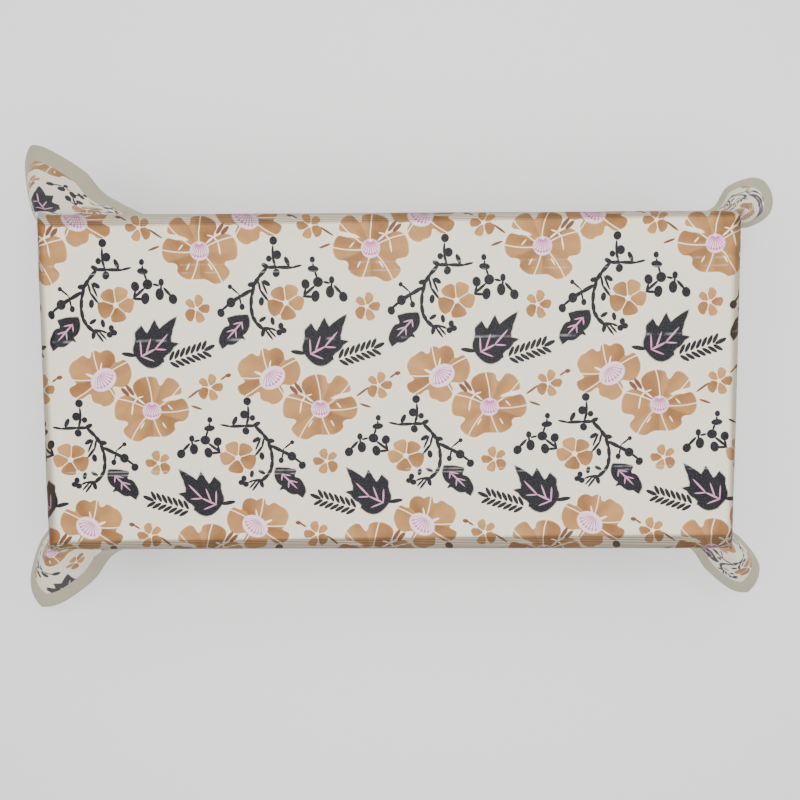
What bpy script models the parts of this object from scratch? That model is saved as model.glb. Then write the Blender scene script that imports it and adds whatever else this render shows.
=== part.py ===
# A small wooden table covered by one rectangular tablecloth, for Blender 4.5.
# Metres, +Z up. The origin is on the floor under the middle of the table, with the
# table's length along X. The cloth hangs on all four sides and flares at its corners.
import math

import bmesh
import bpy
from mathutils import Matrix, Vector

# Table top
TABLE_LENGTH = 1.150
TABLE_DEPTH = 0.556
TABLE_HEIGHT = 0.450
TOP_THICK = 0.025
TOP_CORNER_RADIUS = 0.015
TOP_EDGE_RADIUS = 0.013
TOP_UNDER_RADIUS = 0.004

# Legs and rails
LEG_INSET = 0.035
LEG_TOP_SIDE = 0.048
LEG_FOOT_SIDE = 0.032
LEG_EASE = 0.002
APRON_THICK = 0.018
APRON_HEIGHT = 0.070
APRON_SETBACK = 0.006
BEARER_SIDE = 0.045

# Corner brackets and their hanger bolts
BRACKET_THICK = 0.0025
BRACKET_HEIGHT = 0.050
BRACKET_LEG_GAP = 0.014
BRACKET_FLANGE = 0.020
BRACKET_HOOK = 0.007
BOLT_RADIUS = 0.004
BOLT_IN_LEG = 0.036
BOLT_TAIL = 0.004
WASHER_RADIUS = 0.010
WASHER_THICK = 0.0016
NUT_ACROSS_FLATS = 0.013
NUT_THICK = 0.0065

# Clips that hold the top down, and the screws
CLIP_THICK = 0.0015
CLIP_WIDTH = 0.020
CLIP_TONGUE = 0.008
CLIP_DROP = 0.012
CLIP_PLATE = 0.024
CLIP_ALONG = 0.300
SCREW_RADIUS = 0.00175
SCREW_HEAD_RADIUS = 0.004
SCREW_HEAD_THICK = 0.0026
SCREW_IN_TOP = 0.014
BEARER_SCREW_SPACING = 0.240
BEARER_COUNTERBORE = 0.008

# Levelling feet
PAD_RADIUS = 0.014
PAD_HEIGHT = 0.007
PAD_RECESS = 0.004
COLLAR_ACROSS_FLATS = 0.013
COLLAR_THICK = 0.003
STEM_RADIUS = 0.004
STEM_LENGTH = 0.026
INSERT_FLANGE_RADIUS = 0.010
INSERT_FLANGE_THICK = 0.0016
INSERT_WALL = 0.0018
INSERT_LENGTH = 0.014

# Tablecloth: the flat sheet, its hang and its flared corners
CLOTH_LENGTH = 1.524
CLOTH_WIDTH = 1.016
CLOTH_THICK = 0.0010
CLOTH_FLARE = 0.010
EAR_REACH_X = 0.122
EAR_REACH_Y = 0.156
EAR_SPREAD = 0.120
EAR_HEM_RISE = 0.012
EAR_POINTS = 9
EDGE_POINTS = 6
BEND_STEPS = 4
SKIRT_STEPS = 5

# Clearances
SEAM = 0.0003
RUN_GAP = 0.0004
ROUND_SIDES = 24
SMALL_SIDES = 16

CORNERS = {
    "front_left": (-1, -1),
    "front_right": (1, -1),
    "back_left": (-1, 1),
    "back_right": (1, 1),
}

# Places worked out from the sizes above
FLOOR_TO_COLLAR = PAD_HEIGHT + SEAM
FLOOR_TO_FLANGE = FLOOR_TO_COLLAR + COLLAR_THICK + SEAM
LEG_BOTTOM = FLOOR_TO_FLANGE + INSERT_FLANGE_THICK + SEAM
TOP_UNDERSIDE = TABLE_HEIGHT - TOP_THICK
FRAME_TOP = TOP_UNDERSIDE - SEAM
APRON_BOTTOM = FRAME_TOP - APRON_HEIGHT
LEG_OUTER_X = TABLE_LENGTH / 2 - LEG_INSET
LEG_OUTER_Y = TABLE_DEPTH / 2 - LEG_INSET
LEG_INNER_X = LEG_OUTER_X - LEG_TOP_SIDE
LEG_INNER_Y = LEG_OUTER_Y - LEG_TOP_SIDE
APRON_INNER_X = LEG_OUTER_X - APRON_SETBACK - APRON_THICK
APRON_INNER_Y = LEG_OUTER_Y - APRON_SETBACK - APRON_THICK
BOLT_Z = FRAME_TOP - APRON_HEIGHT / 2

for old in list(bpy.data.objects):
    bpy.data.objects.remove(old)


# ---- Materials ----

def finish(name, colour, roughness, metallic=0.0):
    material = bpy.data.materials.new(name)
    material.use_nodes = True
    shader = material.node_tree.nodes["Principled BSDF"]
    shader.inputs["Base Color"].default_value = (*colour, 1.0)
    shader.inputs["Roughness"].default_value = roughness
    shader.inputs["Metallic"].default_value = metallic
    return material


WOOD = finish("oiled beech", (0.52, 0.33, 0.17), 0.5)
STEEL = finish("zinc plated steel", (0.62, 0.63, 0.64), 0.35, 1.0)
PLASTIC = finish("black nylon", (0.02, 0.02, 0.022), 0.55)
VINYL = finish("printed vinyl", (0.74, 0.68, 0.56), 0.35)


# ---- Small modelling tools ----

def add_object(name, bm, material, smooth=False):
    bmesh.ops.recalc_face_normals(bm, faces=bm.faces[:])
    mesh = bpy.data.meshes.new(name)
    bm.to_mesh(mesh)
    bm.free()
    mesh.materials.append(material)
    if smooth:
        mesh.shade_smooth()
        mesh.set_sharp_from_angle(angle=math.radians(40))
    obj = bpy.data.objects.new(name, mesh)
    bpy.context.scene.collection.objects.link(obj)
    return obj


def add_box(name, low, high, material):
    bm = bmesh.new()
    bmesh.ops.create_cube(bm, size=1.0)
    size = Vector(high) - Vector(low)
    bmesh.ops.scale(bm, vec=size, verts=bm.verts[:])
    bmesh.ops.translate(bm, vec=(Vector(low) + Vector(high)) / 2, verts=bm.verts[:])
    return add_object(name, bm, material)


def add_rings(name, rings, material, smooth=False):
    """Skins a list of equal rings and closes the first and last with a face."""
    bm = bmesh.new()
    loops = [[bm.verts.new(point) for point in ring] for ring in rings]
    count = len(rings[0])
    for lower, upper in zip(loops, loops[1:]):
        for i in range(count):
            j = (i + 1) % count
            bm.faces.new((lower[i], lower[j], upper[j], upper[i]))
    bm.faces.new(loops[0])
    bm.faces.new(loops[-1])
    return add_object(name, bm, material, smooth)


def add_prism(name, outline, low, high, material):
    """Extrudes an XY outline from z = low to z = high."""
    return add_rings(name, [[(x, y, z) for x, y in outline] for z in (low, high)], material)


def circle(radius, sides):
    turn = [2 * math.pi * i / sides for i in range(sides)]
    return [(radius * math.cos(a), radius * math.sin(a)) for a in turn]


def hexagon(across_flats):
    return circle(across_flats / math.sqrt(3), 6)


def add_turned(name, profile, sides, material):
    """Turns (radius, z) points about Z. A solid profile starts and ends on flat ends."""
    rings = [[(x, y, z) for x, y in circle(radius, sides)] for radius, z in profile]
    return add_rings(name, rings, material, smooth=True)


def add_tube(name, profile, sides, material):
    """Turns a closed (radius, z) outline about Z, which leaves a hole down the middle."""
    bm = bmesh.new()
    loops = [
        [bm.verts.new((x, y, z)) for x, y in circle(radius, sides)] for radius, z in profile
    ]
    for k, loop in enumerate(loops):
        following = loops[(k + 1) % len(loops)]
        for i in range(sides):
            j = (i + 1) % sides
            bm.faces.new((loop[i], loop[j], following[j], following[i]))
    return add_object(name, bm, material, smooth=True)


def cut(target, cutter):
    """Takes the cutter's shape out of the target and keeps the cutter as a guide."""
    cutter.hide_render = True
    cutter.display_type = "WIRE"
    boolean = target.modifiers.new("cut by " + cutter.name, "BOOLEAN")
    boolean.operation = "DIFFERENCE"
    boolean.solver = "EXACT"
    boolean.object = cutter


def ease_edges(obj, width, segments=1):
    bevel = obj.modifiers.new("eased edges", "BEVEL")
    bevel.width = width
    bevel.segments = segments
    bevel.limit_method = "ANGLE"
    bevel.angle_limit = math.radians(40)


def along_diagonal(sx, sy, distance, z):
    """A matrix whose Z axis runs from the leg's inner corner towards the table's middle."""
    inward = Vector((-sx, -sy, 0)).normalized()
    corner = Vector((sx * LEG_INNER_X, sy * LEG_INNER_Y, z))
    turn = inward.to_track_quat("Z", "Y").to_matrix().to_4x4()
    return Matrix.Translation(corner + inward * distance) @ turn


# ---- Table top, legs and rails ----

def make_table_top():
    """A board with round corners in plan and a rounded edge all the way round."""
    def outline(inset):
        radius = TOP_CORNER_RADIUS - inset
        points = []
        for quarter in range(4):
            sx = (1, -1, -1, 1)[quarter]
            sy = (1, 1, -1, -1)[quarter]
            middle_x = sx * (TABLE_LENGTH / 2 - TOP_CORNER_RADIUS)
            middle_y = sy * (TABLE_DEPTH / 2 - TOP_CORNER_RADIUS)
            for step in range(5):
                angle = math.radians(90 * quarter + 22.5 * step)
                points.append(
                    (middle_x + radius * math.cos(angle), middle_y + radius * math.sin(angle))
                )
        return points

    rings = []
    for step in range(5):
        angle = math.radians(22.5 * step)
        inset = TOP_UNDER_RADIUS * (1 - math.sin(angle))
        z = TOP_UNDERSIDE + TOP_UNDER_RADIUS * (1 - math.cos(angle))
        rings.append([(x, y, z) for x, y in outline(inset)])
    for step in range(5):
        angle = math.radians(22.5 * step)
        inset = TOP_EDGE_RADIUS * (1 - math.cos(angle))
        z = TABLE_HEIGHT - TOP_EDGE_RADIUS * (1 - math.sin(angle))
        rings.append([(x, y, z) for x, y in outline(inset)])
    return add_rings("table_top", rings, WOOD, smooth=True)


def make_leg(corner, sx, sy):
    """Square down to the aprons, then tapered on its two inner faces."""
    def square(side, z):
        xs = (sx * LEG_OUTER_X, sx * (LEG_OUTER_X - side))
        ys = (sy * LEG_OUTER_Y, sy * (LEG_OUTER_Y - side))
        return [(xs[0], ys[0], z), (xs[1], ys[0], z), (xs[1], ys[1], z), (xs[0], ys[1], z)]

    rings = [
        square(LEG_FOOT_SIDE, LEG_BOTTOM),
        square(LEG_TOP_SIDE, APRON_BOTTOM),
        square(LEG_TOP_SIDE, FRAME_TOP),
    ]
    leg = add_rings("leg_" + corner, rings, WOOD)
    ease_edges(leg, LEG_EASE)

    foot_x, foot_y = foot_centre(sx, sy)
    depth = max(STEM_LENGTH, INSERT_LENGTH) + RUN_GAP
    bore = add_turned(
        "cutter_foot_" + corner,
        [(insert_radius() + SEAM, -depth), (insert_radius() + SEAM, depth)],
        SMALL_SIDES,
        STEEL,
    )
    bore.location = (foot_x, foot_y, LEG_BOTTOM)
    cut(leg, bore)

    pilot = add_turned(
        "cutter_bolt_" + corner,
        [(BOLT_RADIUS + SEAM, -BOLT_IN_LEG - SEAM), (BOLT_RADIUS + SEAM, BRACKET_LEG_GAP)],
        SMALL_SIDES,
        STEEL,
    )
    pilot.matrix_world = along_diagonal(sx, sy, 0, BOLT_Z)
    cut(leg, pilot)
    return leg


def foot_centre(sx, sy):
    return (
        sx * (LEG_OUTER_X - LEG_FOOT_SIDE / 2),
        sy * (LEG_OUTER_Y - LEG_FOOT_SIDE / 2),
    )


def insert_radius():
    return STEM_RADIUS + RUN_GAP + INSERT_WALL


def bracket_reach():
    """How far along each apron the bracket's plate meets it, from the aprons' inner corner."""
    leg_stands_in = APRON_INNER_X - LEG_INNER_X
    return 2 * leg_stands_in + math.sqrt(2) * BRACKET_LEG_GAP - SEAM


def make_apron(name, runs_along_x, side):
    """A rail between two legs, with kerfs for the bracket hooks and slots for the clips."""
    if runs_along_x:
        half = LEG_INNER_X - SEAM
        inner = APRON_INNER_Y
        low = (-half, side * inner, APRON_BOTTOM)
        high = (half, side * (inner + APRON_THICK), FRAME_TOP)
        corner_from = APRON_INNER_X
        clip_places = (-CLIP_ALONG, CLIP_ALONG)
    else:
        half = LEG_INNER_Y - SEAM
        inner = APRON_INNER_X
        low = (side * inner, -half, APRON_BOTTOM)
        high = (side * (inner + APRON_THICK), half, FRAME_TOP)
        corner_from = APRON_INNER_Y
        clip_places = (0.0,)
    lows = [min(a, b) for a, b in zip(low, high)]
    highs = [max(a, b) for a, b in zip(low, high)]
    apron = add_box(name, lows, highs, WOOD)

    def slot(label, along, width, z_low, z_high, depth):
        across = (side * (inner - SEAM), side * (inner + depth))
        first = (along - width / 2, min(across), z_low)
        last = (along + width / 2, max(across), z_high)
        if not runs_along_x:
            first = (first[1], first[0], first[2])
            last = (last[1], last[0], last[2])
        cut(apron, add_box("cutter_" + name + label, first, last, WOOD))

    hook_at = corner_from - bracket_reach() - BRACKET_FLANGE - BRACKET_THICK / 2
    for end in (-1, 1):
        label = "_kerf_" + ("low", "high")[end > 0]
        wide = BRACKET_THICK + 2 * SEAM
        slot(label, end * hook_at, wide, APRON_BOTTOM - SEAM, FRAME_TOP + SEAM, BRACKET_HOOK + SEAM)
    tongue_top = FRAME_TOP - CLIP_DROP + SEAM
    for number, along in enumerate(clip_places):
        slot(
            "_slot_" + str(number),
            along,
            CLIP_WIDTH + 2 * SEAM,
            tongue_top - CLIP_THICK - 2 * SEAM,
            tongue_top,
            CLIP_TONGUE + SEAM,
        )
    return apron


def make_bearer():
    """The cross rail under the middle of the top, with two counterbored screw holes."""
    half = APRON_INNER_Y - SEAM
    bearer = add_box(
        "middle_bearer",
        (-BEARER_SIDE / 2, -half, FRAME_TOP - BEARER_SIDE),
        (BEARER_SIDE / 2, half, FRAME_TOP),
        WOOD,
    )
    for number, side in enumerate((-1, 1)):
        y = side * BEARER_SCREW_SPACING / 2
        shank = SCREW_RADIUS + RUN_GAP
        head = SCREW_HEAD_RADIUS + RUN_GAP
        low = FRAME_TOP - BEARER_SIDE
        profile = [
            (head, low - SEAM),
            (head, low + BEARER_COUNTERBORE),
            (shank, low + BEARER_COUNTERBORE),
            (shank, FRAME_TOP + SEAM),
        ]
        hole = add_turned("cutter_bearer_" + str(number), profile, SMALL_SIDES, STEEL)
        hole.location = (0, y, 0)
        cut(bearer, hole)
    return bearer


# ---- Brackets, bolts, clips and screws ----

def thick_path(points, thick):
    """The outline of a strip of the given thickness laid to the left of a bent path."""
    path = [Vector(p) for p in points]
    sides = []
    for a, b in zip(path, path[1:]):
        run = (b - a).normalized()
        sides.append(Vector((-run.y, run.x)))
    moved = []
    for i, point in enumerate(path):
        before = sides[max(i - 1, 0)]
        after = sides[min(i, len(sides) - 1)]
        mitre = (before + after).normalized()
        moved.append(point + mitre * thick / mitre.dot(after))
    return [tuple(p) for p in path] + [tuple(p) for p in reversed(moved)]


def make_bracket(corner, sx, sy):
    """A folded steel plate across the corner, hooked into a kerf in each apron."""
    reach = bracket_reach()
    end = reach + BRACKET_FLANGE
    path = [
        (end, -BRACKET_HOOK),
        (end, SEAM),
        (reach, SEAM),
        (SEAM, reach),
        (SEAM, end),
        (-BRACKET_HOOK, end),
    ]
    outline = []
    for along_x, along_y in thick_path(path, -BRACKET_THICK):
        outline.append((sx * (APRON_INNER_X - along_x), sy * (APRON_INNER_Y - along_y)))
    low = BOLT_Z - BRACKET_HEIGHT / 2
    bracket = add_prism(
        "corner_bracket_" + corner, outline, low, low + BRACKET_HEIGHT, STEEL
    )
    hole = add_turned(
        "cutter_bracket_" + corner,
        [(BOLT_RADIUS + RUN_GAP, 0), (BOLT_RADIUS + RUN_GAP, 2 * BRACKET_LEG_GAP)],
        SMALL_SIDES,
        STEEL,
    )
    hole.matrix_world = along_diagonal(sx, sy, 0, BOLT_Z)
    cut(bracket, hole)
    return bracket


def make_hanger_bolt(corner, sx, sy):
    washer_at = BRACKET_LEG_GAP + BRACKET_THICK + SEAM
    nut_at = washer_at + WASHER_THICK + SEAM
    end = nut_at + NUT_THICK + BOLT_TAIL
    point = BOLT_RADIUS / 2
    profile = [
        (point, -BOLT_IN_LEG),
        (BOLT_RADIUS, -BOLT_IN_LEG + BOLT_RADIUS),
        (BOLT_RADIUS, end - BOLT_RADIUS / 4),
        (BOLT_RADIUS * 0.75, end),
    ]
    bolt = add_turned("hanger_bolt_" + corner, profile, SMALL_SIDES, STEEL)
    bolt.matrix_world = along_diagonal(sx, sy, 0, BOLT_Z)

    bore = BOLT_RADIUS + RUN_GAP
    profile = [
        (bore, 0),
        (WASHER_RADIUS, 0),
        (WASHER_RADIUS, WASHER_THICK),
        (bore, WASHER_THICK),
    ]
    washer = add_tube("bolt_washer_" + corner, profile, ROUND_SIDES, STEEL)
    washer.matrix_world = along_diagonal(sx, sy, washer_at, BOLT_Z)

    nut = add_prism("bolt_nut_" + corner, hexagon(NUT_ACROSS_FLATS), 0, NUT_THICK, STEEL)
    hole = add_turned(
        "cutter_nut_" + corner, [(bore, -SEAM), (bore, NUT_THICK + SEAM)], SMALL_SIDES, STEEL
    )
    nut.matrix_world = hole.matrix_world = along_diagonal(sx, sy, nut_at, BOLT_Z)
    cut(nut, hole)


def make_clip(name, place, inward):
    """A Z-shaped clip: its tongue is in the apron and its plate lies under the top."""
    tongue_z = FRAME_TOP - CLIP_DROP - CLIP_THICK
    plate_z = FRAME_TOP - CLIP_THICK
    path = [
        (-CLIP_TONGUE, tongue_z),
        (2 * CLIP_THICK, tongue_z),
        (2 * CLIP_THICK, plate_z),
        (CLIP_PLATE, plate_z),
    ]
    across = Vector((-inward.y, inward.x, 0))
    bm = bmesh.new()
    loops = []
    for side in (-1, 1):
        loop = []
        for out, z in thick_path(path, CLIP_THICK):
            point = place + inward * out + across * side * CLIP_WIDTH / 2
            loop.append(bm.verts.new((point.x, point.y, z)))
        loops.append(loop)
    count = len(loops[0])
    for i in range(count):
        j = (i + 1) % count
        bm.faces.new((loops[0][i], loops[0][j], loops[1][j], loops[1][i]))
    bm.faces.new(loops[0])
    bm.faces.new(loops[1])
    clip = add_object("top_clip_" + name, bm, STEEL)
    hole = add_turned(
        "cutter_clip_" + name,
        [(SCREW_RADIUS + RUN_GAP, plate_z - SEAM), (SCREW_RADIUS + RUN_GAP, FRAME_TOP + SEAM)],
        SMALL_SIDES,
        STEEL,
    )
    at = clip_screw_place(place, inward)
    hole.location = (at.x, at.y, 0)
    cut(clip, hole)
    return clip


def clip_screw_place(place, inward):
    return place + inward * (CLIP_PLATE + 2 * CLIP_THICK) / 2


def make_screw(name, x, y, seat_z, top):
    """A pan-head wood screw driven upwards from seat_z into the table top."""
    tip_z = TOP_UNDERSIDE + SCREW_IN_TOP
    head = seat_z - SEAM
    profile = [
        (SCREW_HEAD_RADIUS * 0.7, head - SCREW_HEAD_THICK),
        (SCREW_HEAD_RADIUS, head - SCREW_HEAD_THICK * 0.6),
        (SCREW_HEAD_RADIUS, head),
        (SCREW_RADIUS, head),
        (SCREW_RADIUS, tip_z - 2 * SCREW_RADIUS),
        (SCREW_RADIUS * 0.3, tip_z),
    ]
    screw = add_turned(name, profile, SMALL_SIDES, STEEL)
    screw.location = (x, y, 0)
    pilot = add_turned(
        "cutter_" + name,
        [(SCREW_RADIUS + SEAM, TOP_UNDERSIDE - SEAM), (SCREW_RADIUS + SEAM, tip_z + SEAM)],
        SMALL_SIDES,
        STEEL,
    )
    pilot.location = (x, y, 0)
    cut(top, pilot)


# ---- Levelling feet ----

def make_foot(corner, sx, sy):
    x, y = foot_centre(sx, sy)
    foot = bpy.data.objects.new("foot_axis_" + corner, None)
    foot.location = (x, y, 0)
    bpy.context.scene.collection.objects.link(foot)

    recess = STEM_RADIUS + RUN_GAP
    pad_profile = [
        (PAD_RADIUS - 0.001, 0),
        (PAD_RADIUS, 0.001),
        (PAD_RADIUS, PAD_HEIGHT / 2),
        (PAD_RADIUS * 0.7, PAD_HEIGHT),
        (recess, PAD_HEIGHT),
        (recess, PAD_HEIGHT - PAD_RECESS),
    ]
    pad = add_turned("foot_pad_" + corner, pad_profile, ROUND_SIDES, PLASTIC)

    stem_profile = [
        (STEM_RADIUS * 0.8, PAD_HEIGHT - PAD_RECESS + SEAM),
        (STEM_RADIUS, PAD_HEIGHT - PAD_RECESS + STEM_RADIUS * 0.2 + SEAM),
        (STEM_RADIUS, FLOOR_TO_COLLAR),
        (COLLAR_ACROSS_FLATS / 2, FLOOR_TO_COLLAR),
        (COLLAR_ACROSS_FLATS / 2, FLOOR_TO_COLLAR + COLLAR_THICK),
        (STEM_RADIUS, FLOOR_TO_COLLAR + COLLAR_THICK),
        (STEM_RADIUS, LEG_BOTTOM + STEM_LENGTH - STEM_RADIUS * 0.2 - SEAM),
        (STEM_RADIUS * 0.8, LEG_BOTTOM + STEM_LENGTH - SEAM),
    ]
    stem = add_turned("foot_stem_" + corner, stem_profile, SMALL_SIDES, STEEL)

    bore = STEM_RADIUS + RUN_GAP
    insert_profile = [
        (bore, FLOOR_TO_FLANGE),
        (INSERT_FLANGE_RADIUS, FLOOR_TO_FLANGE),
        (INSERT_FLANGE_RADIUS, FLOOR_TO_FLANGE + INSERT_FLANGE_THICK),
        (insert_radius(), FLOOR_TO_FLANGE + INSERT_FLANGE_THICK),
        (insert_radius(), LEG_BOTTOM + INSERT_LENGTH),
        (bore, LEG_BOTTOM + INSERT_LENGTH),
    ]
    insert = add_tube("foot_insert_" + corner, insert_profile, SMALL_SIDES, STEEL)
    for piece in (pad, stem, insert):
        piece.parent = foot


# ---- Tablecloth ----

def cloth_ring(offset, z_end, z_side, ear):
    """One closed ring of the hanging cloth, round the table.

    offset is how far the ring stands out from the table's edge, z_end and z_side its
    heights on the short ends and the long sides, and ear how far it has opened, 0 to 1.
    """
    half_x = TABLE_LENGTH / 2 + offset
    half_y = TABLE_DEPTH / 2 + offset
    ring = []
    for quarter in range(4):
        sx = (1, -1, -1, 1)[quarter]
        sy = (1, 1, -1, -1)[quarter]
        side = []
        for step in range(EAR_POINTS):
            t = step / (EAR_POINTS - 1)
            swell = ear * (1 - (2 * t - 1) ** 2)
            back_x = EAR_SPREAD * max(0, 2 * t - 1)
            back_y = EAR_SPREAD * max(0, 1 - 2 * t)
            x = half_x - back_x + EAR_REACH_X * swell
            y = half_y - back_y + EAR_REACH_Y * swell
            z_flat = z_end + (z_side - z_end) * t
            z = z_flat + EAR_HEM_RISE * swell
            side.append((sx * x, sy * y, z))
        gap_x = 2 * (half_x - EAR_SPREAD)
        gap_y = 2 * (half_y - EAR_SPREAD)
        along_side = quarter in (0, 2)
        if not along_side:
            side.reverse()
        ring += side
        last = side[-1]
        for step in range(1, EDGE_POINTS):
            share = step / EDGE_POINTS
            if along_side:
                ring.append((last[0] - sx * gap_x * share, last[1], last[2]))
            else:
                ring.append((last[0], last[1] - sy * gap_y * share, last[2]))
    return ring


def make_tablecloth():
    """A closed thin shell: flat on the top, bent over the edges and flared at the corners."""
    hug = SEAM + CLOTH_THICK / 2
    top_z = TABLE_HEIGHT + hug
    radius = TOP_EDGE_RADIUS + hug
    bend_length = radius * math.pi / 2
    end_drop = (CLOTH_LENGTH - TABLE_LENGTH) / 2 + TOP_EDGE_RADIUS - bend_length
    side_drop = (CLOTH_WIDTH - TABLE_DEPTH) / 2 + TOP_EDGE_RADIUS - bend_length

    rings = []
    for step in range(BEND_STEPS + 1):
        angle = math.pi / 2 * step / BEND_STEPS
        offset = radius * math.sin(angle) - TOP_EDGE_RADIUS
        z = top_z - radius * (1 - math.cos(angle))
        rings.append(cloth_ring(offset, z, z, 0))
    for step in range(1, SKIRT_STEPS + 1):
        share = step / SKIRT_STEPS
        offset = hug + CLOTH_FLARE * share
        z = top_z - radius
        rings.append(cloth_ring(offset, z - end_drop * share, z - side_drop * share, share))

    bm = bmesh.new()
    loops = [[bm.verts.new(point) for point in ring] for ring in rings]
    count = len(loops[0])
    for upper, lower in zip(loops, loops[1:]):
        for i in range(count):
            j = (i + 1) % count
            bm.faces.new((upper[i], lower[i], lower[j], upper[j]))
    bm.faces.new(loops[0])
    cloth = add_object("tablecloth", bm, VINYL, smooth=True)
    wall = cloth.modifiers.new("cloth thickness", "SOLIDIFY")
    wall.thickness = CLOTH_THICK
    wall.offset = 0.0
    wall.use_even_offset = True
    return cloth


def main():
    top = make_table_top()
    for corner, (sx, sy) in CORNERS.items():
        make_leg(corner, sx, sy)
        make_bracket(corner, sx, sy)
        make_hanger_bolt(corner, sx, sy)
        make_foot(corner, sx, sy)
    make_apron("long_apron_front", True, -1)
    make_apron("long_apron_back", True, 1)
    make_apron("short_apron_left", False, -1)
    make_apron("short_apron_right", False, 1)
    make_bearer()

    clips = {}
    for row, side in (("front", -1), ("back", 1)):
        for column, along in (("left", -CLIP_ALONG), ("right", CLIP_ALONG)):
            place = Vector((along, side * APRON_INNER_Y, 0))
            clips[row + "_" + column] = (place, Vector((0, -side, 0)))
    for column, side in (("left", -1), ("right", 1)):
        place = Vector((side * APRON_INNER_X, 0, 0))
        clips["end_" + column] = (place, Vector((-side, 0, 0)))
    for name, (place, inward) in clips.items():
        make_clip(name, place, inward)
        at = clip_screw_place(place, inward)
        make_screw("clip_screw_" + name, at.x, at.y, FRAME_TOP - CLIP_THICK, top)
    for name, side in (("front", -1), ("back", 1)):
        seat = FRAME_TOP - BEARER_SIDE + BEARER_COUNTERBORE
        make_screw("bearer_screw_" + name, 0, side * BEARER_SCREW_SPACING / 2, seat, top)
    make_tablecloth()


main()
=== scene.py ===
import math

import bmesh
import bpy
import numpy as np
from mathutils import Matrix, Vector


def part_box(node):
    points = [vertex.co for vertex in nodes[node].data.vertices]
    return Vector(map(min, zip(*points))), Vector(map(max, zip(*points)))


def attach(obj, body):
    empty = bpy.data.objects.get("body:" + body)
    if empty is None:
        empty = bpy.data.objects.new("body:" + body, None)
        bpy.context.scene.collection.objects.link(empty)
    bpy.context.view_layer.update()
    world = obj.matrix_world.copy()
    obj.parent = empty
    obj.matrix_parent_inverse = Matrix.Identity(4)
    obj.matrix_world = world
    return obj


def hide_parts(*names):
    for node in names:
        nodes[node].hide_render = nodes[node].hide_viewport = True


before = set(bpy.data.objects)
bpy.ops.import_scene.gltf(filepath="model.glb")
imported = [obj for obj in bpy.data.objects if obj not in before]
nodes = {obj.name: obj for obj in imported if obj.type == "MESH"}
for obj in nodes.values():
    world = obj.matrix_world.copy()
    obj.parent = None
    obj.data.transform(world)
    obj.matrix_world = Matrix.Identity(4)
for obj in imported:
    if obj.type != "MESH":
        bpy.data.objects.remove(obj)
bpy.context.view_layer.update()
print("frame loaded,", len(nodes), "CAD nodes")


# camera, lights and floor
studio = {
    "cameraPlace": (0.0335, 0.0916, 1.8638),
    "cameraTurn": (-4.797, 0.569, -0.252),
    "cameraField": 50.0,
    "overheadPlace": (0.15, 0.25, 3.2),
    "overheadAim": (0, 0, 0.4),
    "overheadSize": (4.4, 4.0),
    "overheadPower": 184.0,
    "glintPlace": (0.20, 0.56, 2.60),
    "glintAim": (0.10, 0.26, 0.45),
    "glintSize": (0.55, 0.22),
    "glintPower": 13.0,
    "frontFillPlace": (-1.2, -3.2, 1.3),
    "frontFillAim": (0, 0, 0.3),
    "frontFillSize": (2.2, 1.4),
    "frontFillPower": 14.0,
    "skyGrey": 0.46,
    "floorColour": (0.97, 0.97, 0.97),
    "floorSize": 14.0,
}


def aimedAt(place, target):
    return (Vector(target) - Vector(place)).to_track_quat("-Z", "Y").to_euler()


def addAreaLight(name):
    place = studio[name + "Place"]
    lamp = bpy.data.lights.new(name, "AREA")
    lamp.shape = "RECTANGLE"
    lamp.size, lamp.size_y = studio[name + "Size"]
    lamp.energy = studio[name + "Power"]
    holder = bpy.data.objects.new(name, lamp)
    holder.location = place
    holder.rotation_euler = aimedAt(place, studio[name + "Aim"])
    bpy.context.scene.collection.objects.link(holder)


def setUpStudio():
    lens = bpy.data.cameras.new("camera")
    lens.sensor_fit = "HORIZONTAL"
    lens.angle = math.radians(studio["cameraField"])
    lens.clip_start = 0.05
    lens.clip_end = 60.0
    camera = bpy.data.objects.new("camera", lens)
    camera.location = studio["cameraPlace"]
    camera.rotation_euler = [math.radians(a) for a in studio["cameraTurn"]]
    bpy.context.scene.collection.objects.link(camera)
    bpy.context.scene.camera = camera
    for name in ("overhead", "glint", "frontFill"):
        addAreaLight(name)
    world = bpy.data.worlds.new("softRoom")
    world.use_nodes = True
    grey = studio["skyGrey"]
    world.node_tree.nodes["Background"].inputs[0].default_value = (grey, grey, grey, 1)
    bpy.context.scene.world = world


def paleFloor():
    half = studio["floorSize"] / 2
    mesh = bpy.data.meshes.new("floor")
    mesh.from_pydata([(-half, -half, 0), (half, -half, 0), (half, half, 0), (-half, half, 0)],
                     [], [(0, 1, 2, 3)])
    floor = bpy.data.objects.new("floor", mesh)
    bpy.context.scene.collection.objects.link(floor)
    paint = bpy.data.materials.new("paleFloor")
    paint.use_nodes = True
    surface = paint.node_tree.nodes["Principled BSDF"]
    surface.inputs["Base Color"].default_value = (*studio["floorColour"], 1)
    surface.inputs["Roughness"].default_value = 0.8
    mesh.materials.append(paint)


setUpStudio()
paleFloor()
print("studio ready")


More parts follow.
